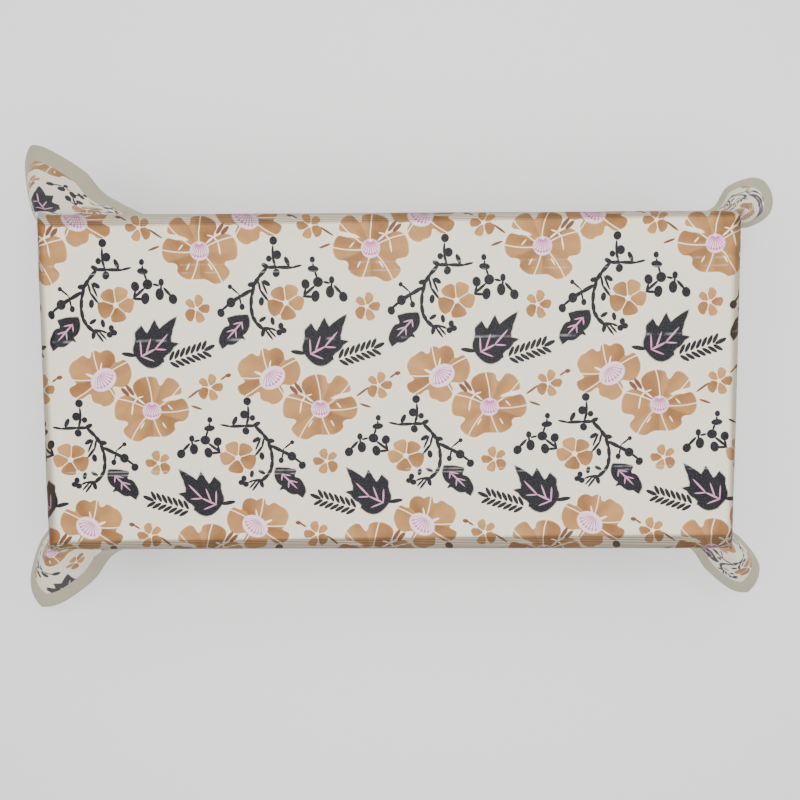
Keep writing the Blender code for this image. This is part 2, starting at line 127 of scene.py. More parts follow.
# shader sums
class Wire:
    # one socket in a material, so that sums on it read as sums
    def __init__(self, tree, socket):
        self.tree = tree
        self.socket = socket

    def node(self, kind, settings=None, sockets=None, result=0):
        made = self.tree.nodes.new(kind)
        for name, value in (settings or {}).items():
            if name == "stops":
                fillRamp(made.color_ramp, value)
            elif name == "curve":
                fillCurve(made.mapping, *value)
            else:
                setattr(made, name, value)
        for name, value in (sockets or {}).items():
            if isinstance(value, Wire):
                self.tree.links.new(value.socket, made.inputs[name])
            else:
                made.inputs[name].default_value = value
        return Wire(self.tree, made.outputs[result])

    def worked(self, operation, *values):
        return self.node("ShaderNodeMath", {"operation": operation}, dict(enumerate(values)))

    def math(self, operation, *others):
        return self.worked(operation, self, *others)

    def vector(self, operation, *others, result=0):
        sockets = dict(enumerate((self, *others)))
        return self.node("ShaderNodeVectorMath", {"operation": operation}, sockets, result)

    def output(self, index):
        return Wire(self.tree, self.socket.node.outputs[index])

    def parts(self):
        split = self.node("ShaderNodeSeparateXYZ", None, {0: self})
        return split, split.output(1), split.output(2)

    def __add__(self, other):
        return self.math("ADD", other)

    def __radd__(self, other):
        return self.worked("ADD", other, self)

    def __sub__(self, other):
        return self.math("SUBTRACT", other)

    def __rsub__(self, other):
        return self.worked("SUBTRACT", other, self)

    def __mul__(self, other):
        return self.math("MULTIPLY", other)

    def __rmul__(self, other):
        return self.worked("MULTIPLY", other, self)

    def __truediv__(self, other):
        return self.math("DIVIDE", other)

    def low(self, other):
        return self.math("MINIMUM", other)

    def high(self, other):
        return self.math("MAXIMUM", other)

    def size(self):
        return self.math("ABSOLUTE")

    def clamped(self):
        return self.node("ShaderNodeClamp", None, {"Value": self})

    def blend(self, first, second):
        # self is the factor, between two colours
        return self.node("ShaderNodeMix", {"data_type": "RGBA"}, {0: self, 6: first, 7: second}, 2)

    def between(self, first, second):
        # self is the factor, between two numbers
        return self.node("ShaderNodeMix", {"data_type": "FLOAT"}, {0: self, 2: first, 3: second})

    def curve(self, points, handle="AUTO"):
        return self.node("ShaderNodeFloatCurve", {"curve": (points, handle)}, {"Value": self})

    def ramp(self, stops):
        return self.node("ShaderNodeValToRGB", {"stops": stops}, {"Fac": self})


def fillRamp(ramp, stops):
    while len(ramp.elements) < len(stops):
        ramp.elements.new(1.0)
    for element, (place, tint) in zip(ramp.elements, stops):
        element.position = place
        element.color = tint


def fillCurve(mapping, points, handle):
    line = mapping.curves[0]
    line.points[0].location = points[0]
    line.points[1].location = points[-1]
    for point in points[1:-1]:
        line.points.new(*point)
    for point in line.points:
        point.handle_type = handle
    mapping.update()


def colour(red, green, blue):
    # a screen colour, 0 to 255, as the light it stands for
    parts = [c / 255 for c in (red, green, blue)]
    return (*[c / 12.92 if c <= 0.04045 else ((c + 0.055) / 1.055) ** 2.4 for c in parts], 1.0)


def newMaterial(name):
    material = bpy.data.materials.new(name)
    material.use_nodes = True
    tree = material.node_tree
    surface = tree.nodes["Principled BSDF"]
    return material, tree, surface


# the print on the cloth: sizes in millimetres on the flat cloth
cloth = {
    "length": 1.524,
    "width": 1.016,
    "thick": 0.0010,
    "shift": (-0.008, 0.010),
    "turn": 0.53,
    "cell": 0.007,
    "lift": 0.0013,
}

repeat = {
    "across": 279.7,
    "down": 255.6,
    "mirrorLine": -349.2,
    "stretch": -3.6,
    "stretchFrom": 136.8,
    "printShift": (-7.9, 10.1),
    "margin": 60.0,
}

ink = {
    "ground": colour(232, 225, 202),
    "margin": colour(172, 164, 138),
    "tanDark": colour(112, 66, 28),
    "tanLight": colour(184, 136, 82),
    "cream": colour(250, 234, 210),
    "night": colour(13, 14, 24),
    "leafVein": colour(206, 146, 180),
    "petalPink": colour(240, 212, 224),
    "stamenPink": colour(194, 92, 152),
    "brown": colour(108, 66, 42),
}


class Place:
    # a point on the print, x and y in millimetres from an origin that can be moved
    def __init__(self, x, y, vector, ox=0.0, oy=0.0):
        self.x, self.y, self.vector = x, y, vector
        self.ox, self.oy = ox, oy

    def moved(self, dx, dy):
        return Place(self.x, self.y, self.vector, self.ox + dx, self.oy + dy)

    def along(self, x, y, turn, size):
        # how far the point is from x, y in one direction, in sizes
        c, s = math.cos(turn) / size, math.sin(turn) / size
        start = -(c * (x + self.ox) + s * (y + self.oy))
        return self.vector.vector("DOT_PRODUCT", (c, s, start), result=1)


class Shapes:
    # a running union of squared measures that are below 1 inside a shape
    def __init__(self):
        self.total = None

    def add(self, measure):
        self.total = measure if self.total is None else self.total.low(measure)

    def strokes(self, place, lines):
        for line in lines:
            self.add(stroke(place, *line))

    def spots(self, place, dots):
        for dot in dots:
            self.add(spot(place, *dot))

    def mask(self, sharp):
        return ((1 - self.total.math("SQRT")) * sharp + 0.5).clamped()


class Layers:
    # what the print holds so far: a union of shapes for each ink, and the petals' tone
    def __init__(self):
        self.petals = None
        self.tone = None
        self.cream = Shapes()
        self.pink = Shapes()
        self.stamens = Shapes()
        self.brown = Shapes()
        self.dark = Shapes()
        self.vein = Shapes()

    def addFlower(self, place, shape, gap):
        measure, tone = flower(place, shape, gap)
        if self.petals is None:
            self.petals = measure
            self.tone = tone
        else:
            self.petals = self.petals.low(measure)
            self.tone = ((measure - 1) * -40).clamped().between(self.tone, tone)

    def addLeaf(self, place, outline, top, veins):
        turn, reach = polar(place)
        edge = reach / (turn.curve(ringStops(outline, top), "VECTOR") * top)
        self.dark.add(edge * edge)
        self.vein.strokes(place, veins)


def spot(place, x, y, across, up, turn=0.0):
    turn = math.radians(turn)
    a = place.along(x, y, turn, across)
    a = a * a
    b = place.along(x, y, turn + math.pi / 2, up)
    return b.math("MULTIPLY_ADD", b, a)


def stroke(place, x1, y1, x2, y2, half):
    long = math.hypot(x2 - x1, y2 - y1) / 2 + half * 0.7
    turn = math.degrees(math.atan2(y2 - y1, x2 - x1))
    return spot(place, (x1 + x2) / 2, (y1 + y2) / 2, long, half * 1.4, turn)


def polar(place):
    x, y = place.x - place.ox, place.y - place.oy
    turn = (y.math("ARCTAN2", x) / (2 * math.pi)).math("FRACT")
    reach = y.math("MULTIPLY_ADD", y, x * x)
    return turn, reach.math("SQRT")


def ringStops(stops, top=1.0):
    # a closed run of (degrees, value), as a curve over one turn
    points = sorted((degrees % 360 / 360, value / top) for degrees, value in stops)
    (t0, v0), (t1, v1) = points[-1], points[0]
    across = (t1 + 1 - t0) or 1
    edge = v0 + (v1 - v0) * (1 - t0) / across
    inner = [p for p in points if 0.001 < p[0] < 0.999]
    return [(0.0, edge)] + inner + [(1.0, edge)]


def gapStops(gaps):
    # the distance to the nearest of some angles, in turns, times four
    gaps = sorted(g % 360 / 360 for g in gaps)
    points = [(g, 0.0) for g in gaps]
    for first, second in zip(gaps, gaps[1:] + [gaps[0] + 1]):
        middle = (first + second) / 2
        points.append((middle % 1, (second - first) * 2))
    return ringStops([(t * 360, v) for t, v in points])


flowerBig = {
    "outline": [(0, 63), (13, 62), (26, 57), (36, 44), (41, 33), (50, 47), (63, 57), (80, 59),
                (98, 57), (106, 47), (110, 46), (115, 61), (127, 66), (143, 63), (150, 57),
                (153, 40), (157, 55), (170, 61), (182, 62), (197, 57), (205, 46), (211, 44),
                (222, 50), (240, 50), (258, 46), (276, 45), (284, 48), (300, 60), (318, 62),
                (328, 57), (334, 46), (342, 52), (352, 63)],
    "gaps": [33, 95, 152, 190, 262, 318],
    "twist": 0.20,
    "tone": [(0, 0.75), (30, 0.55), (40, 0.1), (90, 0.35), (108, 0.85), (112, 0.45), (150, 0.75),
             (158, 0.15), (195, 0.6), (203, 0.15), (240, 0.4), (266, 0.7), (272, 0.3), (320, 0.75),
             (330, 0.5)],
}
flowerFan = {
    "outline": [(9, 52), (24, 53), (38, 51), (46, 38), (52, 41), (62, 47), (72, 49), (84, 46),
                (90, 43.5), (96, 46), (104, 47.5), (113, 40), (118, 39), (126, 48), (133, 50),
                (140, 51), (150, 55), (160, 56), (172, 52), (184, 46), (190, 43), (195, 55),
                (204, 58), (214, 55), (226, 46), (234, 32), (240, 35), (252, 42), (264, 43),
                (276, 47), (290, 45), (304, 39), (314, 32), (322, 24), (336, 36), (348, 46)],
    "gaps": [40, 112, 190, 226, 312],
    "twist": 0.17,
    "tone": [(0, 0.6), (40, 0.45), (46, 0.8), (52, 0.1), (80, 0.3), (112, 0.6), (120, 0.5), (160, 0.8),
             (188, 0.55), (195, 0.1), (225, 0.5), (236, 0.65), (290, 0.75), (314, 0.6), (322, 0.7)],
}
flowerMiddle = {
    "outline": [(10, 31), (20, 28), (32, 23.5), (42, 28), (52, 30.5), (66, 30), (80, 29.5), (90, 27),
                (97, 24), (106, 27), (124, 29), (143, 30), (154, 27), (163, 22), (170, 28), (178, 30.5),
                (196, 31), (213, 31), (230, 28), (242, 21), (250, 25), (258, 27.5), (281, 27.5),
                (300, 28), (311, 26), (320, 19.5), (330, 26), (342, 28.5)],
    "gaps": [32, 97, 163, 242, 320],
    "twist": 0.05,
    "tone": [(10, 0.7), (50, 0.85), (95, 0.65), (100, 0.3), (143, 0.4), (160, 0.5), (170, 0.1),
             (213, 0.3), (240, 0.4), (250, 0.15), (300, 0.3), (322, 0.6)],
}
flowerSmall = {
    "outline": [(3, 23), (20, 21), (36, 13), (50, 19), (66, 22), (78, 23), (92, 21), (106, 13),
                (122, 19), (140, 21), (156, 19), (172, 12), (190, 17), (214, 22), (236, 23), (250, 20),
                (258, 13), (270, 20), (286, 23), (300, 23), (314, 20), (324, 12), (340, 20)],
    "gaps": [36, 106, 172, 258, 324],
    "twist": 0.0,
    "tone": [(3, 0.25), (40, 0.5), (78, 0.85), (110, 0.7), (140, 0.75), (170, 0.5), (200, 0.2),
             (236, 0.2), (260, 0.5), (290, 0.8), (324, 0.4)],
}
leafBig = [(0, 38), (7, 47), (14, 35), (25, 37), (38, 47), (48, 66), (56, 47), (64, 33), (74, 38),
           (81, 45), (92, 31), (104, 24), (110, 27), (113, 39), (122, 37), (138, 36), (152, 30),
           (168, 29), (182, 31), (195, 32), (209, 31), (222, 31), (238, 32), (256, 34), (272, 34.5),
           (290, 33), (306, 31), (311, 32), (318, 27), (332, 28), (345, 33)]
leafSmall = [(3, 23), (20, 27), (46, 33), (62, 27), (78, 24), (100, 22), (123, 23), (134, 13),
             (148, 12), (160, 16), (176, 20), (192, 24), (206, 30), (216, 34), (228, 36), (234, 38),
             (242, 27), (260, 24.5), (276, 21), (292, 18), (306, 18), (317, 24), (326, 16), (342, 19)]


def flower(place, shape, gap):
    # a measure that is below 1 on the petals, and how light their tan is
    turn, reach = polar(place)
    top = max(r for _, r in shape["outline"]) * 1.02
    edge = turn.curve(ringStops(shape["outline"], top)) * top
    spin = (turn + reach * (shape["twist"] / 360)).math("FRACT") if shape["twist"] else turn
    away = spin.curve(gapStops(shape["gaps"]), "VECTOR") * reach * (math.pi / 2)
    measure = (reach / edge).high((gap - away) * 0.12 + 1.0)
    tone = turn.curve(ringStops(shape["tone"]), "AUTO_CLAMPED")
    return measure, tone + reach * (0.25 / top)


stamen = {
    "halfWide": 0.75,
    "dot": 2.1,
}


def fanOfStamens(place, x, y, count, inner, outer):
    # bars that fan out from a point, each with a dot at its end
    step = 2 * math.pi / count
    turn, reach = polar(place.moved(x, y))
    aside = turn * (2 * math.pi)
    aside = (aside.math("WRAP", step / 2, -step / 2) * reach).size()
    bar = (aside / stamen["halfWide"]).high(1 + (inner - reach) * 0.5).high(1 + (reach - outer) * 0.5)
    past = (reach - outer) / stamen["dot"]
    dot = aside / stamen["dot"]
    dot = dot.math("MULTIPLY_ADD", dot, past * past)
    return (bar * bar).low(dot)


def repeatCell(across, along, x, y):
    # the print's own place about one point, alike in every repeat; every other row is mirrored
    down = repeat["down"]
    line = repeat["mirrorLine"]
    row = ((along - y) / down).math("ROUND")
    up = along - y - row * down
    flip = 1 - 2 * row.math("PINGPONG", 1.0)
    half = repeat["across"] / 2
    side = flip * (across - line) - (x - line)
    side = side.math("WRAP", half, -half)
    return Place(side, up, side.node("ShaderNodeCombineXYZ", None, {0: side, 1: up, 2: 1.0}))


def drawFlowerAndBerries(layers, cell):
    big = cell.moved(0.5, 53.3)
    layers.addFlower(big, flowerBig, 0.9)
    small = cell.moved(-7.8, -37.3)
    layers.addFlower(small, flowerSmall, 0.7)
    layers.cream.add(spot(small, 0, 0, 3.6, 3.6))
    layers.cream.strokes(big, [
        (31, 13, 24, 22, 0.9), (24, 22, 14, 25, 0.9), (31, 13, 34, -6, 1.0), (24, 22, 12, 12, 1.1),
        (-17, -20, -22, -29, 0.9), (14, -20, 20, -30, 0.9), (-27, 10, -34, 2, 0.9),
        (-20, 18, -50, 26, 2.4)])
    layers.pink.add(spot(big, 0, 0, 15.5, 15.0))
    bars = fanOfStamens(big, 0, 14, 30, 4.0, 23.0)
    layers.stamens.add(bars.high(spot(big, 0, 0, 14.0, 13.5)))
    layers.brown.add(stroke(big, -83, 2, -66, 8, 1.5))
    layers.dark.spots(cell, [
        (-95, 37, 4.4, 5.2), (-94, 22.5, 9.2, 5.4, -6), (-86.5, 2, 8.4, 8.2), (-107, -1, 7.0, 8.0, 15),
        (-91, -20, 7.0, 9.2, -10), (-64, 5, 4.6, 6.0), (-67, -13.5, 7.2, 9.6),
        (-45.5, -21.5, 7.2, 8.2, 20)])
    layers.dark.strokes(cell, [
        (-94, 31, -94, 27, 1.2), (-91, 18, -88, 9, 1.4), (-107, -8, -110, -20, 1.6),
        (-111, -20, -94, -21, 1.7), (-109, -18, -92, -4, 1.8), (-77, 2, -68, 0, 1.5),
        (-64, 1, -65, -8, 1.3), (-60, -4, -49, -16, 1.9)])
    print("print: big flower and berries")


def drawFanAndLeaf(layers, cell):
    fan = cell.moved(2.6, -42.0)
    layers.addFlower(fan, flowerFan, 0.9)
    middle = cell.moved(32, 75.4)
    layers.addFlower(middle, flowerMiddle, 0.7)
    layers.cream.add(spot(middle, 0, 0, 4.6, 4.6))
    layers.cream.strokes(fan, [(-1, 11, 2, 26, 1.0), (-24, 8, -10, 2, 1.5)])
    layers.pink.add(spot(fan, 4, -2, 22.5, 17.5, 35))
    bars = fanOfStamens(fan, -6, 11, 28, 5.0, 26.0)
    layers.stamens.add(bars.high(spot(fan, 6, -4, 18.5, 13.5, 38)))
    layers.brown.strokes(cell, [(36.5, -59, 47, -70, 2.6), (44.5, -54, 55, -69, 2.4)])
    leaf = cell.moved(88, 8)
    layers.addLeaf(leaf, leafBig, 70.0, [
        (-17, -14, 6, -3, 1.2), (6, -3, 27, 20, 1.1), (6, -3, 24, -4, 0.9), (-17, -14, -18, 9, 1.0),
        (-9, -10, -1, 13, 1.0), (-17, -14, 3, -22, 0.9)])
    layers.dark.add(stroke(leaf, -48, -9.5, -27, -13, 2.6))
    print("print: fan flower, middle flower and leaf")


def drawBranch(layers, cell):
    layers.dark.strokes(cell, [
        (71, 43.5, 55, 40, 1.5), (57, 40, 30, 41, 2.1), (32, 41, 14, 41, 2.2), (16, 41, 7, 46, 2.8),
        (14, 40, 0, 25, 2.5), (1, 26, -8, 13, 2.6), (-7, 14, -12, -4, 2.3), (-12, -2, -13.5, -22, 2.3),
        (-13.5, -20, -11, -36, 2.4), (-12, -34, -5, -46, 2.4), (-6, -45, 5, -55, 2.5),
        (4, -54, 19, -55, 2.0), (18, -54, 27, -58, 1.4), (-12, 6, -32, -5, 2.5),
        (-31, -4, -46, -13, 2.4), (-45, -12, -64, -27, 1.6), (-47, 12, -34, 1, 1.2),
        (-33, 1, -29, -19, 1.2), (-16, 14, -6, 15, 3.0), (25, 75, 24, 57, 1.5), (24, 58, 28, 43, 1.7),
        (0, 19, 3, 4, 1.5), (2, 6, 15, -11, 1.7), (5, 20, 14, -1, 1.4), (7, -55, 4, -66, 2.6),
        (10, -57, 21, -72, 1.5), (15, -56, 26, -68, 1.3)])
    layers.dark.spots(cell, [
        (26, 83, 6.6, 7.0), (31.5, 60.5, 7.2, 7.4), (18, 54.5, 4.8, 5.2), (47.5, 50, 3.8, 8.2, 25),
        (29.5, 32, 6.0, 6.8, -20), (13, 16.5, 3.8, 7.2, 55), (4, -12, 4.4, 7.0, -8),
        (-46, -13, 7.6, 8.2), (-63, -29, 6.2, 7.0, 20), (-47, 11.5, 3.6, 3.8), (-28, -20, 4.4, 5.2),
        (5, -40, 3.2, 6.8, -60), (21.5, -43, 3.6, 6.6, 10), (35, -51, 4.6, 5.6), (32, -61, 5.2, 5.0),
        (39.5, -58, 5.2, 4.8)])
    young = cell.moved(-41, -56)
    layers.addLeaf(young, leafSmall, 40.0, [
        (12, 12, -12, -13, 1.0), (12, 12, 13, 1, 0.8), (12, 12, -2, 9, 0.8), (1, 1, -13, -3, 0.8),
        (1, 1, 2, -12, 0.8)])
    print("print: branch and small leaf")


# the fern's start and lean, and the pitch, slant and half sizes of its pairs of leaflets
fern = {
    "start": (-50, 5),
    "lean": 17,
    "pairs": 7,
    "pitch": 9.4,
    "slant": 0.75,
    "fromStem": 7.6,
    "halfWide": 4.1,
    "halfLong": 6.9,
}


def drawFern(layers, cell):
    tiny = cell.moved(14, -38.6)
    layers.addFlower(tiny, flowerSmall, 0.7)
    layers.cream.add(spot(tiny, 0, 0, 3.6, 3.6))
    layers.brown.strokes(cell, [(-3, -42, -22, -56, 1.4), (33, -26, 42, -20, 1.2)])
    layers.brown.add(spot(cell, 45.5, -19, 5.0, 3.4, 10))
    lean = math.radians(fern["lean"])
    forward = cell.along(*fern["start"], lean, 1.0)
    aside = cell.along(*fern["start"], lean + math.pi / 2, 1.0).size()
    slant = forward - aside * fern["slant"]
    leaflet = (slant / fern["pitch"]).math("ROUND").high(0.0).low(fern["pairs"] - 1)
    acrossLeaf = (slant - leaflet * fern["pitch"]) / fern["halfWide"]
    alongLeaf = (aside - fern["fromStem"]) / fern["halfLong"]
    layers.dark.add(acrossLeaf.math("MULTIPLY_ADD", acrossLeaf, alongLeaf * alongLeaf))
    layers.dark.add(spot(cell, 16, 26, 10.0, 3.6, 25))
    print("print: fern and smallest flower")


def layInks(layers, grain):
    # the inks, one over another
    shade = (layers.tone * 0.8 + grain * 0.45 - 0.12).clamped()
    tan = shade.blend(ink["tanDark"], ink["tanLight"])
    petalShapes = Shapes()
    petalShapes.add(layers.petals * layers.petals)
    petalMask = petalShapes.mask(20.0)
    paint = petalMask.blend(ink["ground"], tan)
    halo = ((1.10 - layers.petals) * 12).clamped() * (1 - petalMask)
    paint = (halo * 0.75).blend(paint, ink["cream"])
    paint = layers.brown.mask(6.0).blend(paint, ink["brown"])
    paint = layers.cream.mask(4.0).blend(paint, ink["cream"])
    paint = layers.pink.mask(10.0).blend(paint, ink["petalPink"])
    paint = (layers.stamens.mask(3.0) * 0.95).blend(paint, ink["stamenPink"])
    paint = layers.dark.mask(12.0).blend(paint, ink["night"])
    return (layers.vein.mask(4.0) * 0.9).blend(paint, ink["leafVein"])


def printPattern(start):
    flat = start.node("ShaderNodeUVMap", {"uv_map": "flatCloth"})
    long, wide = cloth["length"] * 1000, cloth["width"] * 1000
    shiftX, shiftY = repeat["printShift"]
    place = flat.node("ShaderNodeMapping", None, {
        "Vector": flat, "Scale": (long, wide, 1), "Location": (shiftX - long / 2, shiftY - wide / 2, 0)})
    across, along, _ = place.parts()
    bend = ((along - repeat["stretchFrom"]) * (math.pi / repeat["down"])).math("SINE")
    rows = along + bend * repeat["stretch"]
    grain = place.node("ShaderNodeTexNoise", {"noise_dimensions": "2D"},
                       {"Vector": place, "Scale": 0.045, "Detail": 3.0})
    layers = Layers()
    drawFlowerAndBerries(layers, repeatCell(across, rows, -306, 165))
    drawFanAndLeaf(layers, repeatCell(across, rows, -478, 60))
    drawBranch(layers, repeatCell(across, rows, -490, 150))
    drawFern(layers, repeatCell(across, rows, -310, 40))
    paint = layInks(layers, grain)
    edgeX = (across - shiftX).size() - (long / 2 - repeat["margin"])
    edgeY = (along - shiftY).size() - (wide / 2 - repeat["margin"])
    plain = (edgeX.high(edgeY) * 2.0 + 0.5).clamped()
    return place, across, along, plain.blend(paint, ink["margin"]), grain


# ribs, weft and specks of the emboss in millimetres; each crease has its place and half width
vinyl = {
    "ribPitch": 2.9,
    "weftPitch": 1.3,
    "ribHeight": 0.05,
    "weftHeight": 0.02,
    "speckHeight": 0.12,
    "creaseHeight": 0.30,
    "creases": ((199, 2.4), (186, 1.8), (76, 3.0), (-142, 2.0), (-147.5, 1.8)),
    "creaseGlintColour": colour(250, 250, 246),
    "speckSheenColour": colour(206, 200, 184),
    "rough": 0.36,
    "specular": 0.18,
}

# painted shade on the bends over the table's edges, darker along the ribs and towards the front;
# its bands and where it stops short of the ears are in millimetres out from the edge
bends = {
    "middle": 3,
    "sideBand": (-19, 22),
    "sideFade": (5.0, 8.0),
    "sideStop": 9,
    "sideShade": 0.66,
    "endBand": (-15, 27),
    "endFade": (8.0, 10.0),
    "endStop": 6,
    "endShade": 0.58,
    "stopFade": 12.0,
    "ribShade": 0.22,
    "frontShade": 0.0003,
    "colour": colour(66, 52, 40),
}


def band(measure, ends, fades):
    start, stop = ends
    return ((measure - start) / fades[0]).clamped() * ((stop - measure) / fades[1]).clamped()


# painted shade where the sheet bends over the table's edges, darker on the ribs and towards the front
def bendShade(across, along, rib):
    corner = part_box("table_top")[1]
    sideways = (along - bends["middle"]).size() - corner[1] * 1000
    endways = across.size() - corner[0] * 1000
    side = band(sideways, bends["sideBand"], bends["sideFade"])
    end = band(endways, bends["endBand"], bends["endFade"])
    side = side * ((bends["sideStop"] - endways) / bends["stopFade"]).clamped()
    end = end * ((bends["endStop"] - sideways) / bends["stopFade"]).clamped()
    deep = rib * bends["ribShade"] + bends["sideShade"] - along * bends["frontShade"]
    return (side * deep).high(end * bends["endShade"]).clamped()


def makeVinyl():
    material, tree, surface = newMaterial("printedVinyl")
    start = Wire(tree, surface.outputs[0])
    place, across, along, paint, grain = printPattern(start)
    speck = place.node("ShaderNodeTexNoise", {"noise_dimensions": "2D"},
                       {"Vector": place, "Scale": 0.5, "Detail": 4.0})
    rib = (along * (2 * math.pi / vinyl["ribPitch"])).math("SINE")
    weft = (across * (2 * math.pi / vinyl["weftPitch"])).math("SINE")
    crease = None
    for at, reach in vinyl["creases"]:
        line = (1 - ((along - at) / reach).size()).clamped()
        crease = line if crease is None else crease + line
    # painted glint: a pale line along the creases, broken up by the grain, lightens the print
    creaseGlint = crease * ((grain - 0.42) * 5.0).clamped()
    paint = (creaseGlint * 0.20).blend(paint, vinyl["creaseGlintColour"])
    # painted sheen: the embossed specks are mixed toward a pale beige, which lightens the darker inks
    paint = ((speck - 0.46) * 0.22).clamped().blend(paint, vinyl["speckSheenColour"])
    # painted shade over the bends at the table's edges
    paint = bendShade(across, along, rib).blend(paint, bends["colour"])
    tree.links.new(paint.socket, surface.inputs["Base Color"])
    rough = vinyl["rough"] + grain * 0.16 + speck * 0.10 - creaseGlint * 0.12
    tree.links.new(rough.socket, surface.inputs["Roughness"])
    surface.inputs["IOR"].default_value = 1.46
    surface.inputs["Specular IOR Level"].default_value = vinyl["specular"]
    height = (rib * vinyl["ribHeight"] + weft * vinyl["weftHeight"]
              + speck * vinyl["speckHeight"] + crease * vinyl["creaseHeight"])
    bump = height.node("ShaderNodeBump", None, {"Height": height, "Strength": 0.55, "Distance": 0.001})
    tree.links.new(bump.socket, surface.inputs["Normal"])
    return material


def makeFlannel():
    material, tree, surface = newMaterial("clothBacking")
    start = Wire(tree, surface.outputs[0])
    place = start.node("ShaderNodeTexCoord", result=3)
    fluff = place.node("ShaderNodeTexNoise", None, {"Vector": place, "Scale": 900.0, "Detail": 5.0})
    knit = place.node("ShaderNodeTexVoronoi", None, {"Vector": place, "Scale": 450.0})
    mix = (fluff * 0.7 + knit * 0.3).clamped()
    tree.links.new(mix.blend(colour(196, 192, 180), colour(236, 234, 226)).socket,
                   surface.inputs["Base Color"])
    tree.links.new((0.8 + fluff * 0.15).socket, surface.inputs["Roughness"])
    bump = mix.node("ShaderNodeBump", None, {"Height": mix, "Strength": 0.4, "Distance": 0.0006})
    tree.links.new(bump.socket, surface.inputs["Normal"])
    return material


# the cloth's shape
# each ear, by its corner: its heading from the long side, its half width, its reach and what its
# foot adds to the width, as tilts in degrees; the share of its width near the tip; and where it
# starts to curl in metres, how tightly, and over how wide an angle
ears = {
    (-1, 1): {"heading": 56.0, "spread": 15.0, "reach": 38.2, "foot": 2.0, "curlFrom": 0.34, "curl": 0.5,
              "nose": 0.44, "curlWide": 45},
    (1, 1): {"heading": 21.1, "spread": 10.5, "reach": 34.7, "foot": -5.9, "curlFrom": 0.29, "curl": 14.0,
             "nose": 0.78, "curlWide": 45},
    (-1, -1): {"heading": 54.5, "spread": 16.1, "reach": 42.5, "foot": 0.9, "curlFrom": 0.34,
               "curl": 0.5, "nose": 0.54, "curlWide": 45},
    (1, -1): {"heading": 45.5, "spread": 11.9, "reach": 40.0, "foot": -1.2, "curlFrom": 0.20,
              "curl": 0.1, "nose": 0.72, "curlWide": 45},
}


# the hang, in metres, and in degrees of flat cloth round a corner of the table
drape = {
    "slack": 0.006,
    "sideHeld": 35,
    "cornerTurn": 270,
    "edge": 0.0125,
    "rounds": 12,
    "relaxReach": 0.05,
    "relaxDepth": 0.06,
    "topMargin": 0.03,
    "earMargin": 0.02,
}


def smoothPath(points, count):
    # a smooth curve through the points, in even steps
    points = np.array(points, float)
    steps = np.sqrt(np.linalg.norm(np.diff(points, axis=0), axis=1))
    knots = np.concatenate([[0], np.cumsum(steps)])
    slope = np.zeros_like(points)
    slope[1:-1] = (points[2:] - points[:-2]) / (knots[2:] - knots[:-2])[:, None]
    slope[0] = (points[1] - points[0]) / steps[0]
    slope[-1] = (points[-1] - points[-2]) / steps[-1]
    t = np.linspace(0, knots[-1], count)
    i = np.clip(np.searchsorted(knots, t, side="right") - 1, 0, len(knots) - 2)
    span = (knots[i + 1] - knots[i])[:, None]
    s = (t - knots[i])[:, None] / span
    return ((2 * s**3 - 3 * s**2 + 1) * points[i] + (s**3 - 2 * s**2 + s) * span * slope[i]
            + (3 * s**2 - 2 * s**3) * points[i + 1] + (s**3 - s**2) * span * slope[i + 1])


def earDirections(ear):
    # the ways the cloth leaves a corner, and the degrees gone by at each: down one side, out
    # along the ear and back, and up the other side
    heading = math.radians(ear["heading"])
    out = np.array([math.cos(heading), math.sin(heading)])
    side = np.array([out[1], -out[0]])
    wide, reach, nose = ear["spread"], ear["reach"], ear["nose"]
    foot = side * (wide + ear["foot"])
    path = [(0, -90), (0, -70), (0.3, -50), (2.5, -32)]
    path += [out * 8 + foot, out * reach * 0.55 + side * wide, out * reach * 0.9 + side * wide * nose,
             out * reach, out * reach * 0.9 - side * wide * nose, out * reach * 0.55 - side * wide,
             out * 8 - foot]
    path += [(-32, 2.5), (-50, 0.3), (-70, 0), (-90, 0)]
    path = smoothPath(path, 721)
    tilt = np.radians(np.hypot(path[:, 0], path[:, 1]))
    facing = np.arctan2(path[:, 1], path[:, 0])
    ways = np.stack([np.sin(tilt) * np.cos(facing), np.sin(tilt) * np.sin(facing), -np.cos(tilt)], 1)
    turned = np.degrees(np.arccos(np.clip((ways[1:] * ways[:-1]).sum(1), -1, 1)))
    along = np.concatenate([[0], np.cumsum(turned)])
    return along, ways


def hungPlaces(x, y, top, halfLong, halfDeep):
    # where each point of the flat cloth hangs, with a sharp crease round the top
    places = np.stack([x, y, np.full_like(x, top)], 1)
    slack, held, last = drape["slack"], drape["sideHeld"], drape["cornerTurn"]
    for (sx, sy), ear in ears.items():
        along, ways = earDirections(ear)
        dx = np.abs(x) - halfLong + slack
        dy = np.abs(y) - halfDeep + slack
        mine = (x * sx >= 0) & (y * sy >= 0) & ((dx > 0) | (dy > 0))
        turn = np.degrees(np.arctan2(dx, -dy)) % 360
        # the sides keep their length, and the ear takes up what is left
        gone = np.interp(turn, [0, held, last - held, last], [0, held, along[-1] - held, along[-1]])
        way = np.stack([np.interp(gone, along, ways[:, k]) for k in range(3)], 1)
        way /= np.linalg.norm(way, axis=1)[:, None]
        level = np.hypot(way[:, 0], way[:, 1]) + 1e-9
        slope = np.arctan2(-way[:, 2], level)
        reach = np.hypot(dx, dy)
        curl = ear["curl"] * np.exp(-((turn - last / 2) / ear["curlWide"]) ** 2)
        curl = np.where(np.abs(curl) < 1e-4, 1e-4, curl)
        past = np.maximum(reach - ear["curlFrom"], 0)
        near = np.minimum(reach, ear["curlFrom"])
        flat = near * np.cos(slope) + (np.sin(slope + curl * past) - np.sin(slope)) / curl
        drop = near * np.sin(slope) + (np.cos(slope) - np.cos(slope + curl * past)) / curl
        places[mine, 0] = (sx * (halfLong + way[:, 0] / level * flat))[mine]
        places[mine, 1] = (sy * (halfDeep + way[:, 1] / level * flat))[mine]
        places[mine, 2] = (top - drop)[mine]
    return places


